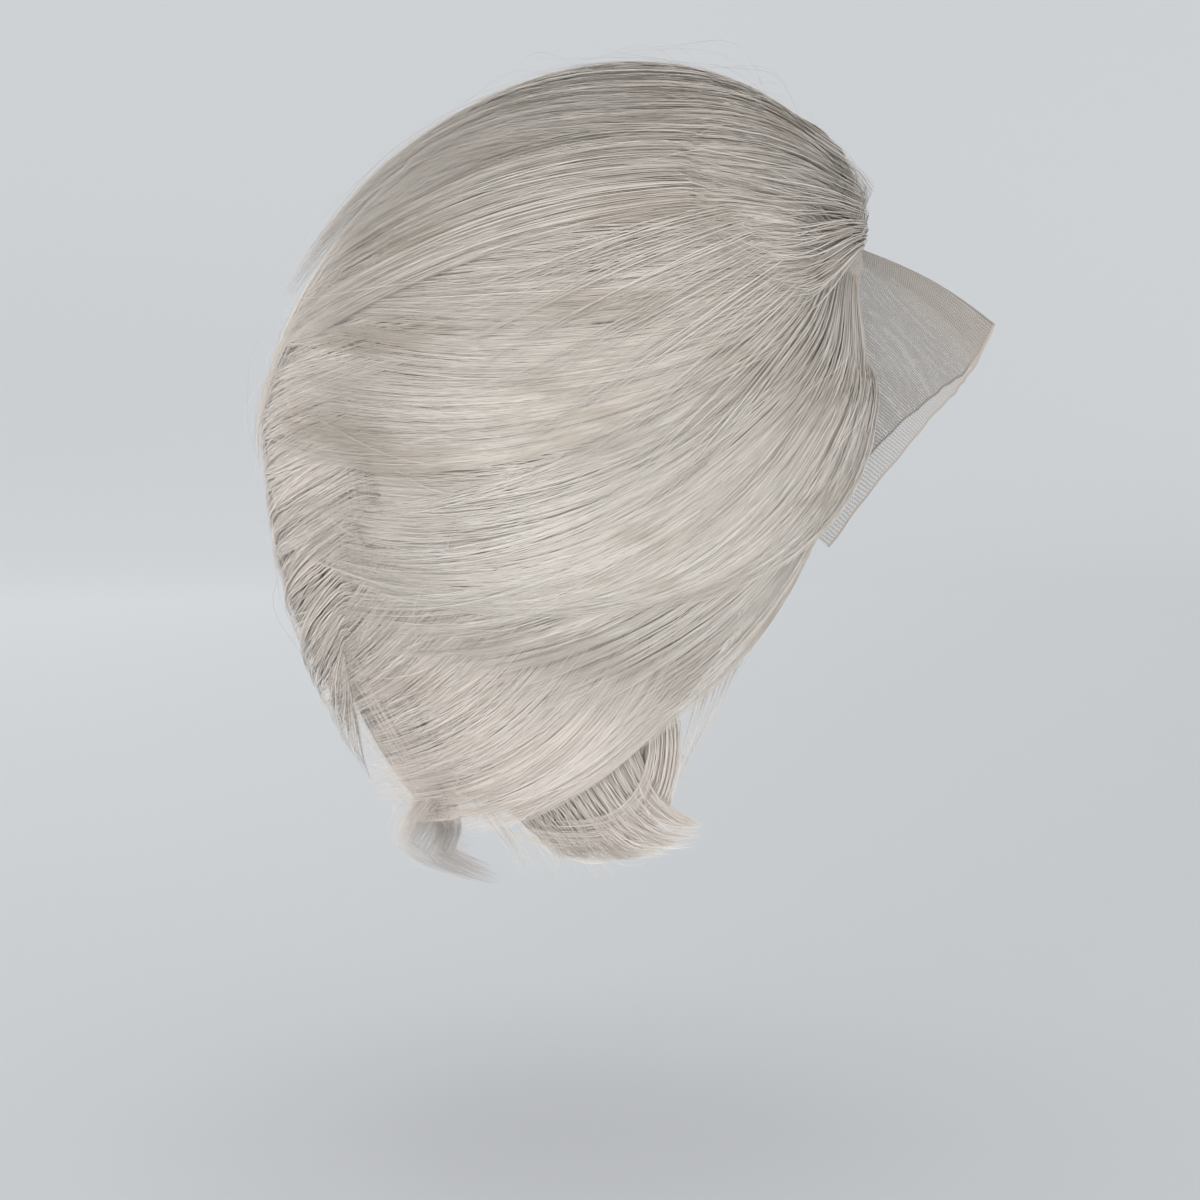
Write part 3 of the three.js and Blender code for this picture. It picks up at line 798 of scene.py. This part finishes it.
def strand_points(layer, count, seed):
    """Points, way out, tones and widths of a layer's strands."""
    chance = np.random.default_rng(seed)
    in_tresses = round(TRESS_SHARE * count)
    kinds = [even_strands(layer, count - in_tresses, chance), tress_strands(layer, in_tresses, chance)]
    strand = {key: np.concatenate([kind[key] for kind in kinds])[:, None] for key in kinds[0]}
    starts_late = chance.uniform(0, 1, (count, 1)) < layer["late"]
    late_start = chance.uniform(0, LATE_START, (count, 1))
    start = np.where(starts_late, late_start, chance.uniform(0, EARLY_START, (count, 1)))
    reach = np.clip(strand["reach"], start + SHORTEST, 1)
    along = start + (reach - start) * np.linspace(0, 1, SEGMENTS + 1) ** POINT_CROWDING
    wave = chance.uniform(*WAVES, (count, 1)) * along + chance.uniform(0, 1, (count, 1))
    wander = chance.normal(0, WANDER, (count, 1)) * np.sin(2 * np.pi * wave)
    wander = wander * smoothstep(along, 0, WANDERS_FROM)
    narrowed = strand["side"] * (1 - strand["gather"] * smoothstep(along, GATHERS_FROM, 1))
    across = strand["middle"] + narrowed + wander + strand["drift"] * along**2
    is_lining = chance.uniform(0, 1, (count, 1)) < layer["lining"]
    sink = np.where(is_lining, LINING_SINK, layer["fill"] * chance.uniform(0, 1, (count, 1)))
    across = layer["inset"] + (1 - 2 * layer["inset"]) * feathered(across)
    points, outward = lay(layer, across, along, sink + 0 * along, STRAND_RIDGES)
    loose = np.abs(chance.normal(0, LOOSE_END, (count, 1))) * smoothstep(along, LOOSE_FROM, 1)
    height = (loose + strand["height"]) * smoothstep(along, 0, layer["rise"])
    height = np.where(is_lining, -LINING_HEIGHT * np.abs(height), height)
    width = chance.uniform(*STRAND_WIDTH, count)
    return points + outward * height[..., None], outward, strand["tone"][:, 0], width


print("share of strands in tresses:", TRESS_SHARE)

# %% Single hairs that stray
STRAY = {
    "start": (0.05, 0.7),
    "length": (0.15, 0.45),
    "across": (0.05, 0.95),
    "turn": 0.08,
    "loose_share": 0.45,
    "height": 6,
    "highest": 13,
    "loose_bend": 1.6,
    "ripple": 0.3,
    "ripple_turn": 7,
    "width": (0.1, 0.2),
}


def stray_points(layer, count, seed):
    """Points, way out, tones and widths of hairs that leave a layer in a low arch or with a loose end."""
    chance = np.random.default_rng(seed)
    share = np.linspace(0, 1, SEGMENTS + 1)[None]
    start = chance.uniform(*STRAY["start"], count)[:, None]
    along = np.minimum(start + chance.uniform(*STRAY["length"], count)[:, None] * share, 1)
    across = chance.uniform(*STRAY["across"], count)[:, None]
    across = across + chance.normal(0, STRAY["turn"], count)[:, None] * share**2
    points, outward = lay(layer, feathered(across), along, np.zeros_like(along), STRAND_RIDGES)
    is_loose = chance.uniform(0, 1, count)[:, None] < STRAY["loose_share"]
    height = np.minimum(np.abs(chance.normal(0, STRAY["height"], count)), STRAY["highest"])[:, None]
    lift = height * np.where(is_loose, share ** STRAY["loose_bend"], np.sin(np.pi * share))
    lift = lift * (1 + STRAY["ripple"] * np.sin(STRAY["ripple_turn"] * share))
    tone = chance.uniform(0, TONE_SPAN, count)
    return points + outward * lift[..., None], outward, tone, chance.uniform(*STRAY["width"], count)


print("highest arch of a stray hair:", STRAY["highest"], "mm, and its ripple")

# %% [markdown]
# ## Under-hair
# Real hair is so dense that no light passes. Ribbons alone would let the cap show through, so each layer also
# has a closed body just under its strands, with streaks in its bump. Its tone is a little darker than most of
# the strands, as painted shade in the gaps between them. It repeats the layer's solid on a finer grid.

# %% Closed body of a layer
BODY_COLUMNS_PER_LOCK = 8
BODY_ROWS = 24
BODY_START = 0.03
BODY_SINK = 2.0
BODY_CROWDING = 1.4
ROOT_SINK = 1.4
EDGE_SINK = 7.0
SIDE_EDGE = 0.1
END_EDGE = 0.8
END_SHARE = 0.7
LIFT_SHARE = 0.7
INNER_RISE = 0.55
INNER_SINK = 0.75
UNEVEN_TIPS = 0.25
LOCK_TURN = 2.4


def layer_body(layer):
    columns = layer["locks"] * BODY_COLUMNS_PER_LOCK
    column, row = np.meshgrid(np.linspace(0, 1, columns + 1), np.linspace(0, 1, BODY_ROWS + 1), indexing="ij")
    swell = np.abs(np.sin(np.pi * column * layer["locks"]))
    lock = np.minimum(np.floor(column * layer["locks"]), layer["locks"] - 1)
    uneven = UNEVEN_TIPS * (1 + np.sin(LOCK_TURN * lock + 1)) * swell
    end = layer["body"] * (1 - layer["notch"] * (1 - swell + uneven))
    along = BODY_START + (end - BODY_START) * row**BODY_CROWDING
    outer, outward = lay(layer, column, along, np.zeros_like(along), STRAND_RIDGES)
    side = np.minimum(column if layer["view"] != "top" else 1, 1 - column)
    side_edge = 1 - smoothstep(side, 0, SIDE_EDGE)
    end_edge = smoothstep(row, END_EDGE, 1)
    free = smoothstep(along, 0, layer["rise"])
    edge_sink = EDGE_SINK * np.maximum(side_edge, END_SHARE * end_edge)
    sink = ROOT_SINK + (BODY_SINK - ROOT_SINK + edge_sink) * free
    sink = sink + LIFT_SHARE * layer["lift"] * np.exp(-(((along - LIFT_AT) / LIFT_SPREAD) ** 2))
    outer = (outer - outward * sink[..., None]).reshape(-1, 3)
    inner = lay(layer, column, along, 1 - INNER_RISE * end_edge)[0]
    inner = (inner - outward * (EDGE_SINK * INNER_SINK * end_edge * free)[..., None]).reshape(-1, 3)
    count = len(outer)
    faces = grid_faces(columns, BODY_ROWS)
    corner = np.arange(count).reshape(columns + 1, BODY_ROWS + 1)
    ring = np.concatenate([corner[:, 0], corner[-1, 1:], corner[-2::-1, -1], corner[0, -2:0:-1]])
    after = np.roll(ring, -1)
    rim = np.stack([ring, ring + count, after + count, after], 1)
    all_faces = np.concatenate([faces, faces[:, ::-1] + count, rim])
    flat_map = np.stack([column.ravel(), along.ravel()], 1)
    return np.concatenate([outer, inner]), all_faces, np.concatenate([flat_map, flat_map])


print("under-hair rule ready")

# %% [markdown]
# ## The hair pieces
# Each solid of hair is replaced by one piece: its body and its ribbons in one mesh with two materials. The
# left side mirrors the guides of the right, with strands of its own.

# %% Build the hair
MM = 0.001
STRAYS = 110
STRAND_ROLL = 0.22
LEFT_SEED, VEIL_SEED, STRAY_SEED, ROLL_SEED = 20, 100, 200, 1000
VEILS_ON = {
    "back_fall": [("back_wrap", 1), ("back_wrap", -1), ("crown_veil", 1), ("crown_veil", -1)],
    "crown_right": [("front_arch", 1)],
    "crown_left": [("front_arch", 1), ("front_loop", 1)],
    "sweep_right": [("crown_side", 1)],
    "wing_right": [("front_fall", 1), ("wing_fall", 1), ("front_wisps", 1)],
    "nape_flick": [("nape_join", 1), ("nape_join", -1)],
    "nape_curl_right": [("curl_under", 1), ("nape_wisps", 1)],
}


def hair_piece(name, layer, seed, mirrored):
    chance = np.random.default_rng(seed + ROLL_SEED)
    body_points, body_faces, body_map = layer_body(layer)
    sets = [strand_points(layer, layer["strands"], seed), stray_points(layer, STRAYS, seed + STRAY_SEED)]
    veils = VEILS_ON.get(name, VEILS_ON.get(name.replace("_left", "_right"), []))
    for number, (veil_name, flip) in enumerate(veils):
        veil = VEILS[veil_name]
        points, outward, tone, width = strand_points(veil, veil["strands"], seed + VEIL_SEED + number)
        sets.append((points * [1, flip, 1], outward * [1, flip, 1], tone, width))
    points, outward, tone, width = (np.concatenate(parts) for parts in zip(*sets))
    roll = chance.normal(0, STRAND_ROLL, len(points))
    strand_mesh = ribbons(points, outward, width, roll, tone)
    all_points = np.concatenate([body_points, strand_mesh[0]]) * MM
    all_faces = np.concatenate([body_faces, strand_mesh[1] + len(body_points)])
    all_map = np.concatenate([body_map, strand_mesh[2]])
    if mirrored:
        all_points = all_points * [1, -1, 1]
        all_faces = all_faces[:, ::-1]
    piece = mesh_object(name + "_hair", all_points, all_faces, all_map)
    piece.data.materials.append(hair_finish["under_hair_shade"])
    piece.data.materials.append(hair_finish[layer["finish"]])
    slots = np.zeros(len(all_faces), np.int32)
    slots[len(body_faces):] = 1
    piece.data.polygons.foreach_set("material_index", slots)
    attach(piece, "root")
    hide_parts(name)
    return piece


hair_pieces = []
for seed, (name, layer) in enumerate(LAYERS.items()):
    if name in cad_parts:
        hair_pieces.append(hair_piece(name, layer, seed, name.endswith("left")))
        continue
    for number, side in enumerate(("right", "left")):
        side_seed = seed + LEFT_SEED * number
        hair_pieces.append(hair_piece(name + "_" + side, layer, side_seed, side == "left"))
triangles = sum(2 * len(piece.data.polygons) for piece in hair_pieces)
print(len(hair_pieces), "hair pieces with", triangles, "triangles")

# %% [markdown]
# ## Net
# The cap and the lace are both knotted net. Voronoi cells that are pushed off their grid only a little make a
# mesh of six-sided holes, and the distance to a cell's edge says where the thread is. The group puts out the
# thread as a mask, so the lace can use it for its holes and the cap for its colour.

# %% Net group
THREAD_EDGE = (1.4, 0.7)
net, given, put_out = new_group(
    "knotted_net",
    [("Map", WAY, (0, 0, 0)), ("Thread", NUMBER, 0.12)],
    [("Mask", NUMBER)],
)
cell_values = {"Vector": given.outputs["Map"], "Scale": 1.0, "Randomness": 0.35}
cell_kind = {"voronoi_dimensions": "2D", "feature": "DISTANCE_TO_EDGE"}
cells = add(net, "ShaderNodeTexVoronoi", cell_values, **cell_kind)
ratio = calculated(net, "DIVIDE", cells.outputs["Distance"], given.outputs["Thread"])
feed(net, rising(net, ratio, *THREAD_EDGE), put_out.inputs["Mask"])


def net_mask(tree, flat_map, holes, thread):
    """Mask of the threads of a net with a number of holes each way on the map."""
    group_values = {"Map": scaled(tree, flat_map, (*holes, 1)), "Thread": thread}
    return add(tree, "ShaderNodeGroup", group_values, node_tree=net).outputs["Mask"]


print("net group with", len(net.nodes), "nodes")

# %% [markdown]
# ## The cap
# The cap is a stretch net with rows of hair sewn to it and an elastic edge. Only its inside and a strip at
# the hairline show. It is a wall as thick as the solid's, on a finer grid, with a soft bead along its rim.

# %% Cap mesh
CAP_COLUMNS = 96
CAP_ROWS = 30
CAP_START = 0.02
RIM_BEAD = 0.35


def cap_wall(offset):
    azimuth = 180 - 360 * np.arange(CAP_COLUMNS) / CAP_COLUMNS
    rim = at_azimuth(CAP_RIM, azimuth)[:, 0]
    row = np.linspace(CAP_START, 1, CAP_ROWS + 1)
    elevation = 90 + (rim[:, None] - 90) * row[None]
    return cap_point(azimuth[:, None] + 0 * elevation, elevation, offset)


outside, inside = cap_wall(CAP_WALL), cap_wall(0)
outside[:, -2:] += RIM_BEAD * (outside - inside)[:, -2:]
column, row = np.meshgrid(np.arange(CAP_COLUMNS), np.arange(CAP_ROWS + 1), indexing="ij")
cap_points = np.concatenate([outside.reshape(-1, 3), inside.reshape(-1, 3)])
here = column[:, :-1] * (CAP_ROWS + 1) + row[:, :-1]
there = (column[:, :-1] + 1) % CAP_COLUMNS * (CAP_ROWS + 1) + row[:, :-1]
wall = np.stack([here, there, there + 1, here + 1], -1).reshape(-1, 4)
shift = len(cap_points) // 2
edge = np.arange(CAP_COLUMNS) * (CAP_ROWS + 1) + CAP_ROWS
top = np.arange(CAP_COLUMNS) * (CAP_ROWS + 1)
rim_faces = np.stack([edge, np.roll(edge, -1), np.roll(edge, -1) + shift, edge + shift], 1)
top_faces = np.stack([top, top + shift, np.roll(top, -1) + shift, np.roll(top, -1)], 1)
cap_faces = np.concatenate([wall, wall[:, ::-1] + shift, rim_faces, top_faces])
flat = np.stack([column / CAP_COLUMNS, row / CAP_ROWS], -1).reshape(-1, 2)
cap = mesh_object("net_cap", cap_points * MM, cap_faces, np.concatenate([flat, flat]))
print("cap faces:", len(cap_faces))

# %% Cap material
CAP_HOLES = (330, 110)
CAP_THREAD = 0.16
CAP_BUMP = {"strength": 0.7, "distance": 0.0006}
HOLE_TONE = (0.44, 0.38, 0.32, 1)
THREAD_TONE = (0.70, 0.63, 0.54, 1)
SEWN_ROWS = 16
SEWN_EDGE = (0.55, 0.8)
SEWN_TONE = (0.72, 0.66, 0.58, 1)
cap_finish, tree, shader = new_material("stretch_net")
shader.inputs["Roughness"].default_value = 0.85
flat_map = add(tree, "ShaderNodeUVMap", uv_map="OFBake").outputs["UV"]
thread = net_mask(tree, flat_map, CAP_HOLES, CAP_THREAD)
split = add(tree, "ShaderNodeSeparateXYZ", {0: flat_map})
turn = calculated(tree, "MULTIPLY", split.outputs["Y"], 2 * math.pi * SEWN_ROWS)
sewn_row = rising(tree, calculated(tree, "SINE", turn), *SEWN_EDGE, "LINEAR")
tone = mixed(tree, sewn_row, mixed(tree, thread, HOLE_TONE, THREAD_TONE), SEWN_TONE)
relief = calculated(tree, "MAXIMUM", thread, sewn_row)
feed(tree, tone, shader.inputs["Base Color"])
feed(tree, bumped(tree, relief, **CAP_BUMP), shader.inputs["Normal"])
cap.data.materials.append(cap_finish)
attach(cap, "root")
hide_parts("cap")
print("cap finished")

# %% [markdown]
# ## The lace front
# The lace is one sheet of fine net that stands forward from the hairline. It is stiff enough to hold a ridge
# along its middle, and a pleat lies beside it. Its cut edge is uneven, so a slow wave moves it in and out by
# about a millimetre. Its flat size is that of the plain strips from the hairline to the edge, laid out side
# by side with no ridge or pleat.

# %% Lace mesh
LACE_HALF_SPAN = 60
LACE_EDGE = [
    # azimuth, reach, drop, narrow
    (0, 60, 33, 0.45),
    (12, 46, 44, 0.45),
    (30, 40, 37, 0.47),
    (45, 38, 30, 0.54),
    (60, 36, 32, 0.68),
]
LACE_COLUMNS = 160
LACE_ROWS = 40
LACE_UNDER_RIM = 1
RIDGE = {"height": 5, "azimuth": 6, "spread": 20}
PLEAT = {"height": 1.4, "from": (-9.5, -8.5), "to": (-1.5, 0)}
CREASES = {"height": 0.5, "turn": 0.55, "slant": 2.5, "azimuth": 35, "spread": 18}
CUT = {"depth": 0.006, "wave": 0.35, "ripple": 0.6, "ripple_wave": 0.9}
azimuth = LACE_HALF_SPAN * (1 - 2 * np.linspace(0, 1, LACE_COLUMNS + 1))[:, None]
row = np.linspace(0, 1, LACE_ROWS + 1)[None]
rim_elevation = at_azimuth(CAP_RIM, azimuth)[..., 0]
rim = cap_point(azimuth, rim_elevation, CAP_WALL / 2)
start = cap_point(azimuth, rim_elevation - LACE_UNDER_RIM, CAP_WALL / 2)
reach, drop, narrow = np.moveaxis(at_azimuth(LACE_EDGE, azimuth), -1, 0)
edge = np.stack([rim[..., 0] + reach, rim[..., 1] * narrow, rim[..., 2] - drop], -1)
outward = rim + [0, 0, CAP_FORM["top"]]
outward /= np.linalg.norm(outward, axis=-1, keepdims=True)
bulge = np.sin(np.pi * row)
ridge = RIDGE["height"] * bulge * np.exp(-np.abs(azimuth - RIDGE["azimuth"]) / RIDGE["spread"])
pleat = PLEAT["height"] * bulge * smoothstep(azimuth, *PLEAT["from"])
pleat = pleat * (1 - smoothstep(azimuth, *PLEAT["to"]))
creases = CREASES["height"] * bulge * np.sin(azimuth * CREASES["turn"] + CREASES["slant"] * row)
creases = creases * np.exp(-(((np.abs(azimuth) - CREASES["azimuth"]) / CREASES["spread"]) ** 2))
cut_wave = np.sin(azimuth * CUT["wave"] + 1) + CUT["ripple"] * np.sin(azimuth * CUT["ripple_wave"])
wavy = 1 - CUT["depth"] * (1 + cut_wave) * row
lace_points = start + (edge - start) * (row * wavy)[..., None]
lace_points = lace_points + outward * (ridge + pleat + creases)[..., None]
flat = np.stack(np.broadcast_arrays((azimuth / LACE_HALF_SPAN + 1) / 2, row), -1).reshape(-1, 2)
lace = mesh_object("lace_net", lace_points.reshape(-1, 3) * MM, grid_faces(LACE_COLUMNS, LACE_ROWS), flat)

# %% Lace material
LACE_HOLES = (210, 75)
LACE_THREAD = 0.15
LACE_COVER = (0.03, 0.85)
HEM_EDGE = (0.975, 0.99)
FOLD_NEAR = (0.415, 0.425)
FOLD_FAR = (0.57, 0.55)
FOLD_COVER = 0.3
LACE_TONE = (0.42, 0.38, 0.34, 1)
HEM_TONE = (0.50, 0.43, 0.37, 1)
lace_finish, tree, shader = new_material("sheer_lace")
shader.inputs["Roughness"].default_value = 0.7
flat_map = add(tree, "ShaderNodeUVMap", uv_map="OFBake").outputs["UV"]
cover = between(tree, net_mask(tree, flat_map, LACE_HOLES, LACE_THREAD), *LACE_COVER)
split = add(tree, "ShaderNodeSeparateXYZ", {0: flat_map})
hem = rising(tree, split.outputs["Y"], *HEM_EDGE)
near_side = rising(tree, split.outputs["X"], *FOLD_NEAR)
far_side = rising(tree, split.outputs["X"], *FOLD_FAR)
doubled = calculated(tree, "MULTIPLY", near_side, far_side)
denser = calculated(tree, "MULTIPLY_ADD", doubled, FOLD_COVER, cover)
feed(tree, calculated(tree, "MAXIMUM", denser, hem), shader.inputs["Alpha"])
feed(tree, mixed(tree, hem, LACE_TONE, HEM_TONE), shader.inputs["Base Color"])
lace.data.materials.append(lace_finish)
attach(lace, "root")
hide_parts("lace_front")
print("lace finished")
